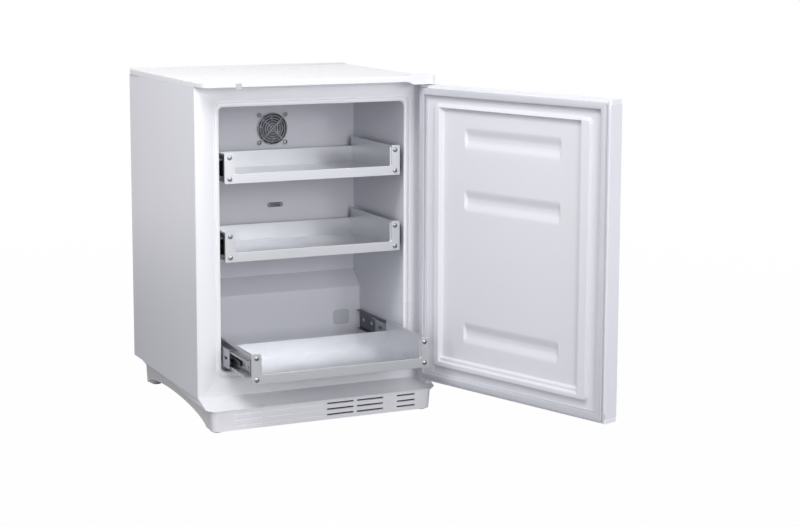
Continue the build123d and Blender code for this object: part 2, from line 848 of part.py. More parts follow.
tube_y = strap_face + tube_radius
coil_left, coil_right = -120, 70
coil_bottom = tank_z + tank_radius + 30
with BuildPart() as coil:
    with BuildLine() as coil_path:
        corners = [(coil_left + coil_end, tube_y, tank_z + tank_radius + seat_gap)]
        for run in range(coil_runs):
            ends = (coil_left, coil_right) if run % 2 == 0 else (coil_right, coil_left)
            start_x = coil_left + coil_end if run == 0 else ends[0]
            corners.append((start_x, tube_y, coil_bottom + run * coil_pitch))
            corners.append((ends[1], tube_y, coil_bottom + run * coil_pitch))
        corners.append((coil_left, tube_y, coil_bottom + coil_runs * coil_pitch + coil_riser))
        FilletPolyline(*corners, radius=coil_pitch / 2 - 0.5)
    with BuildSketch(Plane(origin=coil_path.line @ 0, z_dir=coil_path.line % 0)):
        Circle(tube_radius)
    sweep()
keep("absorber_coil", coil.part)

boiler_x = strap_spots[2]
boiler_bottom, boiler_top = unit_bottom + 4, unit_bottom + 268
boiler_width, boiler_depth = 62, 50
with BuildPart() as boiler:
    with BuildSketch(Plane.XY.offset(boiler_bottom)):
        with Locations((boiler_x, strap_face + boiler_depth / 2)):
            RectangleRounded(boiler_width, boiler_depth, 12)
    extrude(amount=boiler_top - boiler_bottom)
    chamfer(boiler.faces().sort_by(Axis.Z)[-1].edges(), 3)
    offset(amount=-sheet, openings=boiler.faces().sort_by(Axis.Z)[0])
keep("boiler_casing", boiler.part)

with BuildPart() as wool:
    with BuildSketch(Plane.XY.offset(boiler_bottom)):
        with Locations((boiler_x, strap_face + boiler_depth / 2)):
            RectangleRounded(
                boiler_width - 2 * sheet - seat_gap, boiler_depth - 2 * sheet - seat_gap, 11
            )
    extrude(amount=boiler_top - boiler_bottom - sheet)
    chamfer(wool.faces().sort_by(Axis.Z)[-1].edges(), 3)
keep("boiler_wool", wool.part)

condenser_y = strap_face + fin_size / 2
condenser_z = shell_top - 77
condenser_left = 61 - half
condenser_radius = tube_radius + 1
with BuildPart() as condenser:
    with BuildLine() as condenser_path:
        FilletPolyline(
            (boiler_x, condenser_y, boiler_top),
            (boiler_x, condenser_y, condenser_z),
            (condenser_left, condenser_y, condenser_z),
            radius=coil_end,
        )
    with BuildSketch(Plane(origin=condenser_path.line @ 0, z_dir=condenser_path.line % 0)):
        Circle(condenser_radius)
    sweep()
keep("condenser_tube", condenser.part)

with BuildPart() as fins:
    with BuildSketch(Plane.YZ.offset(-fin_count / 2 * fin_pitch - fin_shift)) as fin:
        with Locations((condenser_y, condenser_z)):
            RectangleRounded(fin_size, fin_size, 5)
            Circle(condenser_radius + running_gap, mode=Mode.SUBTRACT)
    for copy in range(fin_count):
        extrude(fin.sketch.moved(Location((copy * fin_pitch, 0, 0))), amount=sheet)
keep("condenser_fins", fins.part)

box_x, box_z = 51 - half, unit_bottom + 40
box_width, box_height, box_depth = 64, 70, 38
with BuildPart() as control_box:
    with BuildSketch(Plane.XZ.offset(-body_depth)):
        with Locations((box_x, box_z)):
            RectangleRounded(box_width, box_height, 4)
    extrude(amount=-box_depth)
    chamfer(control_box.faces().sort_by(Axis.Y)[-1].edges(), 2)
keep("control_box", control_box.part)

with BuildPart() as gland:
    with BuildSketch(Plane.XY.offset(box_z - box_height / 2)):
        with Locations((box_x, body_depth + box_depth / 2)):
            Circle(7)
            RectangleRounded(6, 3.6, 1.7, mode=Mode.SUBTRACT)
    extrude(amount=-9, taper=6)
keep("cord_gland", gland.part)

for name, part in pieces.items():
    export_step(part, f"parts/{name}.step")
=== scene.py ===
# Medicine refrigerator: finishes, fine pieces, floor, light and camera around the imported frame
import json
from math import cos, pi, radians, sin

import bmesh
import bpy
from mathutils import Matrix, Vector


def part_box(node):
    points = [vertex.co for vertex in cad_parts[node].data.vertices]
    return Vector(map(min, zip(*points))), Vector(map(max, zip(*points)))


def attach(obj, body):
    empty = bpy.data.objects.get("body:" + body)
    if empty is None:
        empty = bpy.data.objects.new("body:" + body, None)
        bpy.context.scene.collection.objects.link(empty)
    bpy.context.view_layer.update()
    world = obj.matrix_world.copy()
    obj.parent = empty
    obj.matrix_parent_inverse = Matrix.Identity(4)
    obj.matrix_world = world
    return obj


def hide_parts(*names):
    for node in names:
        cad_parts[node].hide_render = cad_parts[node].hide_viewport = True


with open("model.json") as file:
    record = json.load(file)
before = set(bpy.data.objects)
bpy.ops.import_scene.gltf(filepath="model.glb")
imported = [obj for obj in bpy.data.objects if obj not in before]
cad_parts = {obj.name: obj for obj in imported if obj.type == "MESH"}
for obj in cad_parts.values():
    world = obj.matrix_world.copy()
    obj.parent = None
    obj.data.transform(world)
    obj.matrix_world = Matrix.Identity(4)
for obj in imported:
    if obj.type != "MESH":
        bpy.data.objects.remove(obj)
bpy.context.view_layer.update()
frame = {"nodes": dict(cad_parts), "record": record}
nodes = frame["nodes"]
print("frame loaded:", len(nodes), "nodes")


class Signal:
    # a node's output socket that can stand in a formula

    def __init__(self, finish, socket):
        self.finish, self.socket = finish, socket

    def maths(self, operation, first, second):
        return self.finish.node("ShaderNodeMath", {"operation": operation}, {0: first, 1: second})

    def __add__(self, other):
        return self.maths("ADD", self, other)

    def __radd__(self, other):
        return self.maths("ADD", other, self)

    def __sub__(self, other):
        return self.maths("SUBTRACT", self, other)

    def __rsub__(self, other):
        return self.maths("SUBTRACT", other, self)

    def __mul__(self, other):
        return self.maths("MULTIPLY", self, other)

    def __rmul__(self, other):
        return self.maths("MULTIPLY", other, self)


class Finish:
    # one node tree, filled from formulas

    def __init__(self, name, tree=None):
        if tree is None:
            self.material = bpy.data.materials.new(name)
            self.material.use_nodes = True
            tree = self.material.node_tree
        self.tree = tree
        self.tree.nodes.clear()

    def node(self, kind, settings=None, inputs=None, output=0):
        made = self.tree.nodes.new(kind)
        for key, value in (settings or {}).items():
            setattr(made, key, value)
        for key, value in (inputs or {}).items():
            socket = made.inputs[key]
            if isinstance(value, Signal):
                self.tree.links.new(value.socket, socket)
            elif isinstance(value, tuple) and len(value) == 3 and socket.type == "RGBA":
                socket.default_value = (*value, 1)
            else:
                socket.default_value = value
        return Signal(self, made.outputs[output]) if made.outputs else None

    def place(self):
        return self.node("ShaderNodeTexCoord", output="Object")

    def stretched(self, scale):
        return self.node("ShaderNodeVectorMath", {"operation": "MULTIPLY"}, {0: self.place(), 1: scale})

    def noise(self, scale, detail, where=None, roughness=0.5):
        return self.node(
            "ShaderNodeTexNoise",
            inputs={"Vector": where or self.place(), "Scale": scale, "Detail": detail, "Roughness": roughness},
            output="Fac",
        )

    def blend(self, amount, first, second):
        return self.node("ShaderNodeMix", {"data_type": "RGBA"}, {0: amount, 6: first, 7: second}, output=2)

    def larger(self, first, second):
        return self.node("ShaderNodeMath", {"operation": "MAXIMUM"}, {0: first, 1: second})

    def bump(self, height, depth):
        return self.node("ShaderNodeBump", inputs={"Height": height, "Distance": depth})

    def surface(self, **inputs):
        values = {key.replace("_", " "): value for key, value in inputs.items()}
        body = self.node("ShaderNodeBsdfPrincipled", inputs=values)
        self.node("ShaderNodeOutputMaterial", inputs={"Surface": body})
        return self.material


def glossyCoat(name, look):
    # paint or gloss moulding: faint waviness, fine peel, soft smears in the gloss
    f = Finish(name)
    smear = f.noise(look["smearScale"], 3.0)
    peel = f.noise(look["peelScale"], 1.0)
    wave = f.noise(look["waveScale"], 1.0)
    tone = f.blend(f.noise(look["toneScale"], 2.0), look["colour"], look["shade"])
    height = peel * look["peel"] + wave * look["wave"]
    return f.surface(
        Base_Color=tone,
        Roughness=look["gloss"] + smear * look["smear"],
        Normal=f.bump(height, look["relief"]),
        Specular_IOR_Level=look["specular"],
    )


def brushedMetal(name, look):
    # drawn or brushed sheet: long streaks along one axis, and soft clouds in its tone and gloss
    f = Finish(name)
    streak = f.noise(look["streakScale"], 3.0, f.stretched(look["stretch"]), look["streakGrain"])
    cloud = f.noise(look["cloudScale"], 3.0)
    mixture = streak * look["streakShare"] + cloud * (1 - look["streakShare"])
    tone = f.blend(mixture, look["colour"], look["shade"])
    return f.surface(
        Base_Color=tone,
        Metallic=look["metallic"],
        Roughness=look["gloss"] + (streak - 0.5) * look["grain"] + cloud * look["cloud"],
        Normal=f.bump(streak, look["depth"]),
    )


def plainMoulding(name, look):
    # matt moulding with a spark-eroded texture
    f = Finish(name)
    grain = f.noise(look["grainScale"], 2.0)
    cloud = f.noise(look["cloudScale"], 3.0)
    return f.surface(
        Base_Color=f.blend(cloud, look["colour"], look["shade"]),
        Roughness=look["gloss"] + cloud * look["smear"],
        Normal=f.bump(grain, look["depth"]),
        Specular_IOR_Level=look["specular"],
    )


whiteCoat = {
    "colour": (0.80, 0.80, 0.87), "shade": (0.77, 0.775, 0.85), "toneScale": 4.0, "specular": 0.5,
    "gloss": 0.16, "smear": 0.10, "smearScale": 9.0,
    "relief": 0.001, "peel": 0.02, "peelScale": 900.0, "wave": 0.12, "waveScale": 5.0,
}
whiteMoulding = dict(
    whiteCoat, colour=(0.86, 0.86, 0.90), shade=(0.83, 0.835, 0.88), gloss=0.24, wave=0.06, peel=0.015,
)
# The liner is made greyer than the white mouldings: painted shade for the shaded inside of the cabinet, as the real
# liner is white
shadedLinerMoulding = dict(
    whiteMoulding, colour=(0.74, 0.745, 0.80), shade=(0.70, 0.71, 0.77), gloss=0.28, wave=0.5, waveScale=7.0,
)
doorLinerMoulding = dict(whiteMoulding, colour=(0.78, 0.78, 0.83), shade=(0.76, 0.765, 0.82), gloss=0.30)
sealRubber = {
    "colour": (0.62, 0.63, 0.68), "shade": (0.56, 0.57, 0.62), "gloss": 0.42, "smear": 0.12, "specular": 0.4,
    "grainScale": 700.0, "depth": 0.00004, "cloudScale": 20.0,
}
darkMoulding = {
    "colour": (0.016, 0.016, 0.018), "shade": (0.03, 0.03, 0.033), "gloss": 0.38, "smear": 0.12, "specular": 0.45,
    "grainScale": 1400.0, "depth": 0.00004, "cloudScale": 30.0,
}
greyMoulding = dict(darkMoulding, colour=(0.36, 0.37, 0.40), shade=(0.30, 0.31, 0.34))
paleGreyMoulding = dict(darkMoulding, colour=(0.56, 0.57, 0.61), shade=(0.50, 0.51, 0.55))
fanMoulding = dict(darkMoulding, colour=(0.22, 0.22, 0.25), shade=(0.17, 0.17, 0.19))
padRubber = dict(darkMoulding, colour=(0.50, 0.50, 0.52), shade=(0.42, 0.42, 0.44), gloss=0.6)
blackPaint = dict(
    darkMoulding, colour=(0.012, 0.012, 0.013), shade=(0.02, 0.02, 0.021), gloss=0.30,
    grainScale=500.0, depth=0.00008,
)
rigidFoam = {
    "colour": (0.86, 0.80, 0.62), "shade": (0.78, 0.71, 0.53), "gloss": 0.75, "smear": 0.12, "specular": 0.2,
    "grainScale": 420.0, "depth": 0.0005, "cloudScale": 30.0,
}
drawerSheet = {
    "colour": (0.64, 0.65, 0.68), "shade": (0.58, 0.59, 0.62), "metallic": 0.8, "gloss": 0.30,
    "grain": 0.12, "cloud": 0.06, "cloudScale": 14.0, "depth": 0.00003,
    "stretch": (2.0, 60.0, 60.0), "streakScale": 14.0, "streakGrain": 0.7, "streakShare": 0.6,
}
railSteel = dict(
    drawerSheet, colour=(0.46, 0.47, 0.50), shade=(0.36, 0.37, 0.40), metallic=0.95, gloss=0.26,
    stretch=(60.0, 2.0, 60.0),
)
darkRail = dict(railSteel, colour=(0.17, 0.17, 0.19), shade=(0.11, 0.11, 0.13), gloss=0.32)
guardWire = dict(railSteel, colour=(0.50, 0.50, 0.54), shade=(0.44, 0.44, 0.48), metallic=0.5, gloss=0.35)
brightSteel = dict(
    drawerSheet, colour=(0.40, 0.41, 0.44), shade=(0.30, 0.31, 0.34), metallic=1.0, gloss=0.20, grain=0.05,
    stretch=(1.0, 1.0, 1.0), streakScale=300.0,
)
finSheet = dict(drawerSheet, colour=(0.60, 0.61, 0.63), metallic=0.9, gloss=0.35)

finishes = {
    "coat": glossyCoat("whiteEnamel", whiteCoat),
    "moulding": glossyCoat("whiteMoulding", whiteMoulding),
    "liner": glossyCoat("shadedLinerMoulding", shadedLinerMoulding),
    "seal": plainMoulding("sealRubber", sealRubber),
    "dark": plainMoulding("darkMoulding", darkMoulding),
    "grey": plainMoulding("greyMoulding", greyMoulding),
    "paleGrey": plainMoulding("paleGreyMoulding", paleGreyMoulding),
    "fan": plainMoulding("fanMoulding", fanMoulding),
    "wire": brushedMetal("guardWire", guardWire),
    "doorLiner": glossyCoat("doorLinerMoulding", doorLinerMoulding),
    "black": plainMoulding("blackPaint", blackPaint),
    "pad": plainMoulding("padRubber", padRubber),
    "foam": plainMoulding("rigidFoam", rigidFoam),
    "drawer": brushedMetal("drawerSheet", drawerSheet),
    "rail": brushedMetal("railSteel", railSteel),
    "darkRail": brushedMetal("darkRail", darkRail),
    "bright": brushedMetal("brightSteel", brightSteel),
    "fin": brushedMetal("finSheet", finSheet),
}
nodeFinish = {
    "front_frame": "moulding", "inner_liner": "liner", "insulation_foam": "foam", "left_side_panel": "coat",
    "right_side_panel": "coat", "rear_cover": "coat", "left_rear_wing": "coat", "right_rear_wing": "coat",
    "base_pedestal": "moulding", "foot_pads": "pad", "worktop_cover": "moulding", "lock_keeper": "paleGrey",
    # grille_screen is a dark sheet behind the open middle slots of the base: painted shade for the shadow inside the
    # base
    "upper_hinge_pin": "rail", "lower_hinge": "moulding", "grille_screen": "dark", "door_outer_skin": "coat",
    "door_inner_liner": "doorLiner", "door_foam": "foam", "door_bottom_cap": "moulding",
    "door_top_cap": "moulding", "hinge_bushes": "grey", "door_gasket": "seal", "fan_housing": "fan",
    "fan_rotor": "fan", "fan_guard": "wire", "fan_guard_screws": "bright", "air_vent": "grey",
    "sensor_cover": "paleGrey", "evaporator": "fin", "unit_straps": "black", "absorber_tank": "black",
    "absorber_coil": "black", "boiler_casing": "black", "boiler_wool": "foam", "condenser_tube": "black",
    "condenser_fins": "black", "control_box": "dark", "cord_gland": "dark",
}
bodyOf = {name: body for body, names in frame["record"]["behaviour"]["bodies"].items() for name in names}


def finishOf(name):
    # the drawers' pieces go by the kind of piece in their names
    if name in nodeFinish:
        return nodeFinish[name]
    if "_slide_" in name:
        return "rail"
    return "bright" if "screws" in name else "drawer"


for name, piece in nodes.items():
    piece.data.materials.clear()
    piece.data.materials.append(finishes[finishOf(name)])
print("finishes set:", len(finishes))

front = Vector((0, -1, 0))
across = Vector((1, 0, 0))
upward = Vector((0, 0, 1))


def addPiece(name, shape, body, finish, stands=(), sharp=30):
    # turns a bmesh into a piece that rides on a body
    mesh = bpy.data.meshes.new(name)
    bmesh.ops.recalc_face_normals(shape, faces=shape.faces)
    shape.to_mesh(mesh)
    shape.free()
    mesh.shade_smooth()
    mesh.set_sharp_from_angle(angle=radians(sharp))
    mesh.materials.append(finishes[finish])
    made = bpy.data.objects.new(name, mesh)
    bpy.context.scene.collection.objects.link(made)
    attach(made, body)
    if stands:
        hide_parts(*stands)
    return made


# Distance at which points are joined, and in degrees the most that counts as flat and the least that is rounded
meshCare = {"weld": 1e-6, "flat": 0.5, "bend": 40}


def soften(node, width):
    # the same solid with small rounded edges
    shape = bmesh.new()
    shape.from_mesh(nodes[node].data)
    bmesh.ops.remove_doubles(shape, verts=shape.verts, dist=meshCare["weld"])
    bmesh.ops.dissolve_limit(shape, angle_limit=radians(meshCare["flat"]), verts=shape.verts, edges=shape.edges)
    made = addPiece(node + "_soft", shape, bodyOf[node], finishOf(node), (node,))
    rounding = made.modifiers.new("rounding", "BEVEL")
    rounding.width, rounding.segments = width, 2
    rounding.limit_method, rounding.angle_limit = "ANGLE", radians(meshCare["bend"])
    flats = made.modifiers.new("flats", "WEIGHTED_NORMAL")
    flats.weight, flats.keep_sharp = 100, False


def loopOf(shape, points):
    return [shape.verts.new(point) for point in points]


def skinBetween(shape, loops, closed=False):
    # quads between loops of equally many points
    pairs = list(zip(loops, loops[1:])) + ([(loops[-1], loops[0])] if closed else [])
    for first, second in pairs:
        count = len(first)
        for i in range(count):
            j = (i + 1) % count
            shape.faces.new((first[i], first[j], second[j], second[i]))


def roundedRing(halfWidth, low, high, radius, steps=8):
    # points round a rectangle with rounded corners, in its own plane
    points = []
    for cornerX, cornerZ, start in ((1, 1, 0), (-1, 1, 90), (-1, -1, 180), (1, -1, 270)):
        centre = (cornerX * (halfWidth - radius), (high if cornerZ > 0 else low) - cornerZ * radius)
        for step in range(steps + 1):
            angle = radians(start + 90 * step / steps)
            points.append((centre[0] + radius * cos(angle), centre[1] + radius * sin(angle)))
    return points


def revolve(shape, profile, centre, axis, side, steps):
    # one loop for each (radius, height) pair round an axis, skinned from the first to the last
    other = axis.cross(side)
    loops = []
    for radius, height in profile:
        loops.append(loopOf(shape, [
            centre + axis * height + (side * cos(2 * pi * i / steps) + other * sin(2 * pi * i / steps)) * radius
            for i in range(steps)
        ]))
    skinBetween(shape, loops)
    return loops


def edgesOf(shape, loop):
    return [shape.edges.get((loop[i], loop[(i + 1) % len(loop)])) for i in range(len(loop))]


# A screw's dome as shares of its radius and height, and its cross as shares of the radius
screwHead = {
    "steps": 32, "dome": ((1.0, 0.0), (1.0, 0.25), (0.93, 0.55), (0.8, 0.78), (0.62, 0.93), (0.5, 1.0)),
    "arm": 0.42, "slotHalf": 0.11, "taper": 0.7,
}


def crossHead(shape, centre, axis, side, look):
    # a domed screw head with a cross recess
    other = axis.cross(side)
    dome = [(look["radius"] * reach, look["height"] * rise) for reach, rise in screwHead["dome"]]
    loops = revolve(shape, dome, centre, axis, side, screwHead["steps"])
    shape.faces.new(loops[0])
    arm, half = look["radius"] * screwHead["arm"], look["radius"] * screwHead["slotHalf"]
    outline = [
        (arm, -half), (arm, half), (half, half), (half, arm), (-half, arm), (-half, half),
        (-arm, half), (-arm, -half), (-half, -half), (-half, -arm), (half, -arm), (half, -half),
    ]
    levels = [
        loopOf(shape, [centre + axis * (look["height"] - sink) + (side * x + other * y) * shrink for x, y in outline])
        for sink, shrink in ((0, 1.0), (look["recess"], screwHead["taper"]))
    ]
    skinBetween(shape, levels)
    shape.faces.new(levels[1])
    rims = edgesOf(shape, loops[-1]) + edgesOf(shape, levels[0])
    bmesh.ops.triangle_fill(shape, use_beauty=True, use_dissolve=False, edges=rims)


def screwSet(name, spots, axis, look, body, stands=()):
    # equal screws, each with its cross turned differently
    shape = bmesh.new()
    for index, spot in enumerate(spots):
        turn = Matrix.Rotation(radians(look["turn"] * (index + 1)), 3, axis)
        crossHead(shape, Vector(spot), axis, turn @ across, look)
    addPiece(name, shape, body, "bright", stands, 35)


def perforated(shape, outline, holes, place, thickness):
    # a flat plate with real holes: outline and holes in the plane, place() gives the point at a depth
    rims = []
    for depth in (0.0, thickness):
        loops = [loopOf(shape, [place(x, z, depth) for x, z in loop]) for loop in [outline] + holes]
        edges = []
        for loop in loops:
            for i in range(len(loop)):
                edges.append(shape.edges.new((loop[i], loop[(i + 1) % len(loop)])))
        bmesh.ops.triangle_fill(shape, use_beauty=True, use_dissolve=False, edges=edges)
        rims.append(loops)
    for first, second in zip(*rims):
        skinBetween(shape, [first, second])


def slotHole(x, z, length, height, steps=6):
    # a round hole, or a slot where length is more than height
    points = []
    for side in (1, -1):
        for step in range(steps + 1):
            angle = radians(-90 + 180 * step / steps)
            reach = (length - height) / 2 + height / 2 * cos(angle)
            points.append((x + side * reach, z + side * height / 2 * sin(angle)))
    if length == height:  # the halves of a round hole share their end points
        points = [point for i, point in enumerate(points) if i not in (steps, 2 * steps + 1)]
    return points


# Rounded edges on the mouldings and folded sheets
softEdges = {
    "worktop_cover": 0.0012, "base_pedestal": 0.0005, "door_top_cap": 0.0012, "door_bottom_cap": 0.0012,
    "lower_hinge": 0.0008, "top_drawer_front": 0.0005, "middle_drawer_front": 0.0005,
    "bottom_drawer_front": 0.0005, "sensor_cover": 0.0004, "lock_keeper": 0.0003, "control_box": 0.001,
    "boiler_casing": 0.0004, "unit_straps": 0.0005,
}
for node, width in softEdges.items():
    soften(node, width)
print("edges rounded:", len(softEdges))

# Front frame with a raised bead round the opening and a groove outside it
frontFrame = {
    "halfWidth": 0.211, "low": 0.050, "high": 0.572, "outerCorner": 0.0003,
    "openHalf": 0.169, "openLow": 0.0923, "openHigh": 0.5387, "corner": 0.006,
    # distance in from the outer sides, and place in depth
    "outerEdge": ((0.0012, 0.0), (0.0004, 0.0004), (0.0, 0.0012), (0.0, 0.0025)),
    # distance out from the opening's edge, and place in depth
    "profile": (
        (0.0, 0.0025), (0.0, 0.0002), (0.0004, -0.0004), (0.0012, -0.0008), (0.0058, -0.0008), (0.0068, -0.0005),
        (0.0074, 0.0002), (0.0078, 0.0014), (0.0104, 0.0014), (0.0110, 0.0003), (0.0118, 0.0),
    ),
}


def buildFrontFrame(look):
    shape = bmesh.new()
    loops = []
    for away, depth in look["profile"]:
        half, low, high = look["openHalf"] + away, look["openLow"] - away, look["openHigh"] + away
        ring = roundedRing(half, low, high, look["corner"] + away)
        loops.append(loopOf(shape, [(x, depth, z) for x, z in ring]))
    for inset, depth in look["outerEdge"]:
        ring = roundedRing(look["halfWidth"] - inset, look["low"], look["high"], look["outerCorner"])
        loops.append(loopOf(shape, [(x, depth, z) for x, z in ring]))
    skinBetween(shape, loops, closed=True)
    addPiece("front_frame_beaded", shape, "cabinet", "moulding", ("front_frame",), 40)


buildFrontFrame(frontFrame)
print("front frame built")

# Door axes: along its width from its middle, out of its inner face, and up
doorAxes = {"hinge": (0.2056, -0.0251), "open": 108.6, "middle": -0.2056, "face": 0.0165}
doorTurn = radians(doorAxes["open"])
doorAlong = Vector((cos(doorTurn), sin(doorTurn), 0))
doorOut = Vector((-sin(doorTurn), cos(doorTurn), 0))
doorPivot = Vector((*doorAxes["hinge"], 0))


def doorPoint(along, height, out):
    return doorPivot + doorAlong * (doorAxes["middle"] + along) + doorOut * (doorAxes["face"] + out) + upward * height


# Inner side of the door: a raised field with dykes at its sides, a stepped ledge below and three soft grooves
doorPanel = {
    "halfWidth": 0.2102, "low": 0.0596, "high": 0.5596, "sheet": 0.0014,
    "rimHalf": 0.177, "rimLow": 0.079, "rimHigh": 0.539, "rimCorner": 0.012, "rimRise": 0.0049, "rimSlope": 0.006,
    "hingeDyke": 0.016, "farDyke": 0.022, "sink": 0.0078, "sideSlope": 0.005, "topDyke": 0.0065, "topSlope": 0.0022,
    "lowDyke": 0.012, "stepSlope": 0.0035, "stepFlat": 0.0035,
    "grooves": (0.1500, 0.3780, 0.4830), "grooveHalf": 0.1075, "grooveEnd": 0.004, "grooveDepth": 0.0042,
    "grooveUp": 0.018, "grooveDown": 0.018, "grooveFlat": 0.003,
    # steps of the grid, and how far its fine zones reach round each slope
    "fine": 0.0009, "rowStretch": 1.4, "coarse": 0.011, "margin": 0.001, "rimZone": 0.008, "dykeZone": 0.007,
    "endZone": 0.006, "footZone": 0.025, "headZone": 0.010, "grooveZone": 0.020,
}


def ease(value):
    value = min(1.0, max(0.0, value))
    return value * value * (3 - 2 * value)


def panelRise(look, s, z):
    # height of the moulding over its edge, at s along the width and z up
    corner = look["rimCorner"]
    middle, half = (look["rimLow"] + look["rimHigh"]) / 2, (look["rimHigh"] - look["rimLow"]) / 2
    gapX, gapZ = abs(s) - (look["rimHalf"] - corner), abs(z - middle) - (half - corner)
    inside = corner - (max(gapX, 0) ** 2 + max(gapZ, 0) ** 2) ** 0.5 - min(max(gapX, gapZ), 0)
    rise = look["rimRise"] * ease(inside / look["rimSlope"])
    side = min(look["rimHalf"] - look["hingeDyke"] - s, s + look["rimHalf"] - look["farDyke"])
    top = look["rimHigh"] - look["topDyke"] - z
    bottom = z - look["rimLow"] - look["lowDyke"]
    stepTwo = bottom - look["stepSlope"] - look["stepFlat"]
    rise -= look["sink"] * min(
        ease(side / look["sideSlope"]), ease(top / look["topSlope"]),
        (ease(bottom / look["stepSlope"]) + ease(stepTwo / look["stepSlope"])) / 2,
    )
    for centre in look["grooves"]:
        ends = ease((look["grooveHalf"] - abs(s)) / look["grooveEnd"])
        above, below = centre + look["grooveFlat"] / 2, centre - look["grooveFlat"] / 2
        slope = (z - above) / look["grooveUp"] if z > above else (below - z) / look["grooveDown"]
        rise -= look["grooveDepth"] * ends * ease(1 - slope)
    return rise


def gridLines(low, high, zones, fine, coarse):
    # places of grid lines, close together inside the zones and a little before them
    lines, place, lead = [low], low, coarse * 0.6
    while place < high - meshCare["weld"]:
        near = any(first - lead < place < last for first, last in zones)
        place = min(high, place + (fine if near else coarse))
        lines.append(place)
    return lines


def buildDoorPanel(look):
    reach, grooveHalf, margin = look["rimHalf"], look["grooveHalf"], look["margin"]
    farDyke, hingeDyke = -reach + look["farDyke"], reach - look["hingeDyke"]
    widthZones = [
        (-reach - margin, -reach + look["rimZone"]), (farDyke - margin, farDyke + look["dykeZone"]),
        (-grooveHalf - margin, -grooveHalf + look["endZone"]), (grooveHalf - look["endZone"], grooveHalf + margin),
        (hingeDyke - look["dykeZone"], hingeDyke + margin), (reach - look["rimZone"], reach + margin),
    ]
    heightZones = [
        (look["rimLow"] - margin, look["rimLow"] + look["footZone"]),
        (look["rimHigh"] - look["headZone"], look["rimHigh"] + margin),
    ]
    heightZones += [(centre - look["grooveZone"], centre + look["grooveZone"]) for centre in look["grooves"]]
    columns = gridLines(-look["halfWidth"], look["halfWidth"], widthZones, look["fine"], look["coarse"])
    rows = gridLines(look["low"], look["high"], heightZones, look["fine"] * look["rowStretch"], look["coarse"])
    shape = bmesh.new()
    loops = [loopOf(shape, [doorPoint(s, z, panelRise(look, s, z)) for s in columns]) for z in rows]
    for first, second in zip(loops, loops[1:]):
        for i in range(len(columns) - 1):
            shape.faces.new((first[i], first[i + 1], second[i + 1], second[i]))
    panel = addPiece("door_panel", shape, "door", "doorLiner", ("door_inner_liner",), 60)
    wall = panel.modifiers.new("wall", "SOLIDIFY")
    facing = panel.data.polygons[0].normal.dot(doorOut)
    wall.thickness, wall.offset = look["sheet"], -1.0 if facing > 0 else 1.0


doorCore = {"sink": 0.0022}


def buildDoorCore(look):
    # the door's foam, with its raised rim kept under the panel
    shape = bmesh.new()
    shape.from_mesh(nodes["door_foam"].data)
    for vertex in shape.verts:
        out = (vertex.co - doorPivot).dot(doorOut) - doorAxes["face"]
        if out > 0:
            vertex.co -= doorOut * look["sink"]
    bmesh.ops.remove_doubles(shape, verts=shape.verts, dist=meshCare["weld"])
    addPiece("door_core", shape, "door", "foam", ("door_foam",))


buildDoorPanel(doorPanel)
buildDoorCore(doorCore)
print("door panel and core built")

# Magnetic seal round the door: foot, bellows and magnet head
doorSeal = {
    "halfWidth": 0.207, "low": 0.0556, "high": 0.5636,
    # distance in from the outer edge, and height over the door's face
    "profile": (
        (0.0, 0.0), (0.0, 0.0012), (0.0009, 0.0020), (0.0024, 0.0026), (0.0026, 0.0040), (0.0012, 0.0049),
        (0.0006, 0.0060), (0.0010, 0.0074), (0.0026, 0.0080), (0.0092, 0.0080), (0.0110, 0.0075), (0.0117, 0.0062),
        (0.0112, 0.0050), (0.0098, 0.0042), (0.0104, 0.0030), (0.0128, 0.0020), (0.0139, 0.0009), (0.0140, 0.0),
    ),
}


def buildSeal(look):
    shape = bmesh.new()
    loops = []
    for inward, out in look["profile"]:
        half, low, high = look["halfWidth"] - inward, look["low"] + inward, look["high"] - inward
        corners = ((-half, low), (half, low), (half, high), (-half, high))
        loops.append(loopOf(shape, [doorPoint(s, z, out) for s, z in corners]))
    skinBetween(shape, loops, closed=True)
    addPiece("door_seal", shape, "door", "seal", ("door_gasket",), 50)


buildSeal(doorSeal)
print("door seal built")

# Cross-head screws: drawer fronts, fan guard, rear cover and the straps of the cooling unit
drawerScrew = {"radius": 0.0042, "height": 0.0023, "recess": 0.0015, "turn": 37}
guardScrew = {"radius": 0.0028, "height": 0.0016, "recess": 0.001, "turn": 29}
coverScrew = {"radius": 0.0038, "height": 0.0018, "recess": 0.0012, "turn": 53}
screwPlaces = {
    # each drawer and its front face, as it stands at rest
    "drawers": (("top", -0.002), ("middle", -0.002), ("bottom", 0.022 - 0.144)),
    "drawerAcross": 0.1512, "drawerSpacing": 0.0359, "drawerRise": 0.026,
    "fan": (0.009, 0.216, 0.477), "fanReach": 0.025,
    "coverAcross": 0.175, "coverHeights": (0.18, 0.35, 0.52),
    "strapAcross": (-0.095, 0.02, 0.135), "strapHeights": (0.38, 0.538),
}


def buildScrews(look):
    for drawer, face in look["drawers"]:
        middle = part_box(f"{drawer}_drawer_front")[0].z + look["drawerRise"]
        spots = [
            (side * look["drawerAcross"], face, middle + part * look["drawerSpacing"] / 2)
            for side in (-1, 1) for part in (-1, 1)
        ]
        body, stands = f"{drawer}_drawer", (f"{drawer}_drawer_screws",)
        screwSet(f"{drawer}_front_screws", spots, front, drawerScrew, body, stands)
    reach = look["fanReach"]
    spots = [Vector(look["fan"]) + Vector((side * reach, 0, part * reach)) for side in (-1, 1) for part in (-1, 1)]
    screwSet("guard_screws", spots, front, guardScrew, "cabinet", ("fan_guard_screws",))
    coverFace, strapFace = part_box("rear_cover")[1].y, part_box("unit_straps")[1].y
    spots = [(side * look["coverAcross"], coverFace, z) for side in (-1, 1) for z in look["coverHeights"]]
    spots += [(x, strapFace, z) for x in look["strapAcross"] for z in look["strapHeights"]]
    screwSet("rear_screws", spots, -front, coverScrew, "cabinet")


buildScrews(screwPlaces)
print("screws built")

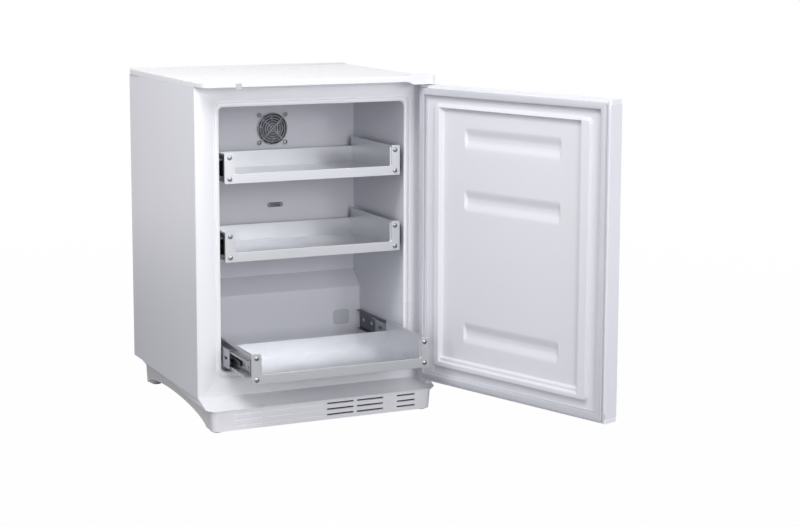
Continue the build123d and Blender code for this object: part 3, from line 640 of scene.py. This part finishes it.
# Wire guard over the fan
wireGuard = {
    "rings": (0.0282, 0.0236, 0.0190, 0.0144, 0.0098, 0.0052), "wire": 0.0008, "spokeHalf": 0.0300, "spokeSides": 10,
    "eye": 0.0036, "eyeSteps": 24, "eyeSides": 8,
}


def addWire(shape, centre, first, second, radius, wire, steps=64, sides=10):
    # a closed ring of round wire in the plane of two directions
    out = first.cross(second)
    loops = []
    for i in range(steps):
        angle = 2 * pi * i / steps
        radial = first * cos(angle) + second * sin(angle)
        loops.append(loopOf(shape, [
            centre + radial * (radius + wire * cos(2 * pi * j / sides)) + out * (wire * sin(2 * pi * j / sides))
            for j in range(sides)
        ]))
    skinBetween(shape, loops, closed=True)


def buildGuard(look):
    # rings, two crossed spokes, and an eye round each screw
    shape = bmesh.new()
    wire, half = look["wire"], look["spokeHalf"]
    plane = Vector(screwPlaces["fan"]) + front * wire
    for radius in look["rings"]:
        addWire(shape, plane, across, upward, radius, wire)
    for side in (1, -1):
        along = (across + upward * side).normalized()
        spoke = revolve(shape, [(wire, -half), (wire, half)], plane, along, front, look["spokeSides"])
        shape.faces.new(spoke[0])
        shape.faces.new(spoke[-1])
        for end in (1, -1):
            eye = plane + along * (end * screwPlaces["fanReach"] * 2**0.5)
            addWire(shape, eye, across, upward, look["eye"], wire, look["eyeSteps"], look["eyeSides"])
    addPiece("fan_wire_guard", shape, "cabinet", "wire", ("fan_guard",), 60)


buildGuard(wireGuard)
print("fan guard built")

# Telescopic slides: webs with real holes, folded edges and a release lever
slideParts = {
    "steel": 0.0012, "edge": 0.00025, "half": {"outer": 0.0175, "middle": 0.0160, "inner": 0.0145},
    "web": {"outer": 0.169, "middle": 0.1675, "inner": 0.1563},
    "lip": {"outer": 0.162, "middle": 0.1588, "inner": 0.166},
    "curl": (0.0009, 0.0022),  # the inner members' lips turn back: thickness and height
    # holes: share of the member's length, height off its middle, length and height
    "holes": {
        "outer": (
            (0.08, 0.0, 0.011, 0.0065), (0.34, 0.0, 0.011, 0.0065), (0.66, 0.0, 0.011, 0.0065),
            (0.9, 0.0, 0.011, 0.0065), (0.2, 0.004, 0.0048, 0.0048), (0.5, 0.004, 0.0048, 0.0048),
        ),
        "middle": ((0.12, 0.0, 0.014, 0.005), (0.5, 0.0, 0.014, 0.005), (0.86, 0.0, 0.014, 0.005)),
        "inner": (
            (0.06, 0.0, 0.0052, 0.0052), (0.17, 0.0, 0.012, 0.0050), (0.30, 0.0, 0.0065, 0.0065),
            (0.55, 0.0, 0.016, 0.0060), (0.82, 0.0, 0.0065, 0.0065),
        ),
    },
    # release lever: distance along the member, height off its middle, half height
    "lever": (
        (0.040, -0.0010, 0.0042), (0.048, 0.0004, 0.0042), (0.056, 0.0022, 0.0030), (0.066, 0.0030, 0.0024),
        (0.078, 0.0018, 0.0024), (0.088, -0.0012, 0.0026), (0.096, -0.0040, 0.0036), (0.104, -0.0050, 0.0040),
    ),
    "leverAcross": (0.1582, 0.1606), "leverTaper": 0.8,
}


def barBetween(shape, low, high):
    # a plain bar from its lowest to its highest corner
    around = ((low[0], low[1]), (high[0], low[1]), (high[0], high[1]), (low[0], high[1]))
    verts = loopOf(shape, [(x, y, z) for z in (low[2], high[2]) for x, y in around])
    skinBetween(shape, [verts[:4], verts[4:]])
    shape.faces.new(verts[:4])
    shape.faces.new(verts[4:])


def buildSlides(drawer, member):
    node = f"{drawer}_slide_{member}_members"
    low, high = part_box(node)
    middle, half, steel = (low.z + high.z) / 2, slideParts["half"][member], slideParts["steel"]
    web, lip = slideParts["web"][member], slideParts["lip"][member]
    thickness, height = slideParts["curl"]
    start, length = low.y, high.y - low.y
    stop, inward = start + length, 1 if lip > web else -1
    outline = [(start, middle - half), (stop, middle - half), (stop, middle + half), (start, middle + half)]
    holes = [
        slotHole(start + length * share, middle + rise, wide, tall)
        for share, rise, wide, tall in slideParts["holes"][member]
    ]
    shape = bmesh.new()
    for side in (-1, 1):
        perforated(shape, outline, holes, lambda y, z, depth: (side * (web + inward * depth), y, z), steel)
        for end in (-1, 1):
            flange = sorted((middle + end * half, middle + end * (half - steel)))
            xs = sorted((side * (web + inward * steel), side * lip))
            barBetween(shape, (xs[0], start, flange[0]), (xs[1], stop, flange[1]))
            if member == "inner":
                curl = sorted((middle + end * (half - steel), middle + end * (half - steel - height)))
                xs = sorted((side * lip, side * (lip - inward * thickness)))
                barBetween(shape, (xs[0], start, curl[0]), (xs[1], stop, curl[1]))
    finish = "darkRail" if member == "outer" else "rail"
    made = addPiece(f"{drawer}_{member}_rails", shape, bodyOf[node], finish, (node,))
    rounding = made.modifiers.new("rounding", "BEVEL")
    rounding.width, rounding.segments, rounding.limit_method = slideParts["edge"], 2, "ANGLE"


def buildLevers(drawer):
    # the curved release lever in the channel of each inner member
    node = f"{drawer}_slide_inner_members"
    low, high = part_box(node)
    middle = (low.z + high.z) / 2
    (near, far), taper = slideParts["leverAcross"], slideParts["leverTaper"]
    shape = bmesh.new()
    for side in (-1, 1):
        loops = [
            loopOf(shape, [
                (side * x, low.y + along, middle + rise + part * half)
                for x, part in ((near, -1), (far, -taper), (far, taper), (near, 1))
            ])
            for along, rise, half in slideParts["lever"]
        ]
        skinBetween(shape, loops)
        shape.faces.new(loops[0])
        shape.faces.new(loops[-1])
    addPiece(f"{drawer}_release_levers", shape, bodyOf[node], "dark", sharp=40)


for drawer in ("top", "middle", "bottom"):
    for member in ("outer", "middle", "inner"):
        buildSlides(drawer, member)
    buildLevers(drawer)
print("slides built")

# Floor and light
studio = {
    "skyLevel": 0.42, "floorSize": 14.0, "floorColour": (0.30, 0.30, 0.31),
    # the floor's near and far reach, its share of white near the object, and how much of it mirrors show there
    "nearFloor": 0.6, "farFloor": 3.0, "nearWhite": 0.985, "nearMirror": 0.12,
    "lamps": (
        # name, place, target, width, height, power
        ("overheadLeft", (-0.8, -0.5, 1.7), (0.2, -0.2, 0.3), 0.7, 0.7, 16.0),
        ("frontFill", (0.0, -2.8, 1.2), (0.0, 0.0, 0.3), 0.8, 0.8, 13.0),
        ("keyRightHigh", (1.0, -1.8, 2.2), (0.0, 0.0, 0.35), 0.6, 0.6, 9.5),
        ("keyRightLow", (0.7, -2.4, 0.95), (0.0, 0.0, 0.35), 0.4, 0.4, 7.0),
        ("lowFill", (-0.25, -2.6, 0.45), (0.1, 0.0, 0.15), 0.5, 0.3, 9.0),
        ("doorFill", (-1.9, -0.9, 0.9), (0.3, -0.2, 0.3), 0.7, 0.7, 4.0),
    ),
}


def studioWhite(finish, mirrored=1.0):
    # one for the camera's rays, and this share for mirror and glass rays
    seen, glossy, through = (
        finish.node("ShaderNodeLightPath", output=f"Is {kind} Ray") for kind in ("Camera", "Glossy", "Transmission")
    )
    return finish.larger(seen, finish.larger(glossy, through) * mirrored)


world = bpy.data.worlds.new("studio")
bpy.context.scene.world = world
world.use_nodes = True
sky = Finish("studio", world.node_tree)
level = studioWhite(sky) * (1.0 - studio["skyLevel"]) + studio["skyLevel"]
glow = sky.node("ShaderNodeBackground", inputs={"Color": (1.0, 1.0, 1.0), "Strength": level})
sky.node("ShaderNodeOutputWorld", inputs={"Surface": glow})

floorMesh = bpy.data.meshes.new("floor")
reach = studio["floorSize"] / 2
corners = [(-reach, -reach, 0), (reach, -reach, 0), (reach, reach, 0), (-reach, reach, 0)]
floorMesh.from_pydata(corners, [], [(0, 1, 2, 3)])
floor = bpy.data.objects.new("floor", floorMesh)
bpy.context.scene.collection.objects.link(floor)
pale = Finish("paleFloor")
matt = pale.node("ShaderNodeBsdfDiffuse", inputs={"Color": studio["floorColour"]})
white = pale.node("ShaderNodeEmission", inputs={"Color": (1.0, 1.0, 1.0), "Strength": 1.0})
away = pale.node("ShaderNodeVectorMath", {"operation": "LENGTH"}, {0: pale.place()}, "Value")
farness = pale.node("ShaderNodeMapRange", {"interpolation_type": "SMOOTHSTEP"}, {
    "Value": away, "From Min": studio["nearFloor"], "From Max": studio["farFloor"],
    "To Min": studio["nearMirror"], "To Max": 1.0,
})
share = farness * (1.0 - studio["nearWhite"]) + studio["nearWhite"]
mixed = pale.node("ShaderNodeMixShader", inputs={0: studioWhite(pale, farness) * share, 1: matt, 2: white})
pale.node("ShaderNodeOutputMaterial", inputs={"Surface": mixed})
floorMesh.materials.append(pale.material)

for name, place, target, width, height, power in studio["lamps"]:
    lamp = bpy.data.lights.new(name, "AREA")
    lamp.shape, lamp.size, lamp.size_y, lamp.energy = "RECTANGLE", width, height, power
    holder = bpy.data.objects.new(name, lamp)
    holder.location = place
    holder.rotation_euler = (Vector(target) - Vector(place)).to_track_quat("-Z", "Y").to_euler()
    holder.visible_camera = False
    bpy.context.scene.collection.objects.link(holder)
print("floor and lamps placed")

# Camera at the photograph's angle, found from the object's straight edges
view = {
    "place": (-1.1515, -2.7937, 0.7974), "turn": 0.4394, "dip": 0.1388, "roll": 0.0029,
    # in the picture's pixels, and the sensor's width in millimetres
    "focal": 1794.3, "centreRow": 200, "middleRow": 263, "pictureWidth": 800, "sensor": 36,
}
camera = bpy.data.cameras.new("camera")
camera.lens, camera.sensor_width = view["focal"] * view["sensor"] / view["pictureWidth"], view["sensor"]
camera.shift_y = (view["centreRow"] - view["middleRow"]) / view["pictureWidth"]
camera.clip_start, camera.clip_end = 0.1, 50
eye = bpy.data.objects.new("camera", camera)
forward = Vector((sin(view["turn"]) * cos(view["dip"]), cos(view["turn"]) * cos(view["dip"]), -sin(view["dip"])))
right = Vector((cos(view["turn"]), -sin(view["turn"]), 0))
up = right.cross(forward)
tiltedRight = cos(view["roll"]) * right + sin(view["roll"]) * up
tiltedUp = cos(view["roll"]) * up - sin(view["roll"]) * right
turnMatrix = Matrix((tiltedRight, tiltedUp, -forward)).transposed()
eye.matrix_world = Matrix.Translation(view["place"]) @ turnMatrix.to_4x4()
bpy.context.scene.collection.objects.link(eye)
bpy.context.scene.camera = eye
bpy.context.scene.view_settings.view_transform = "Standard"
print("camera placed")
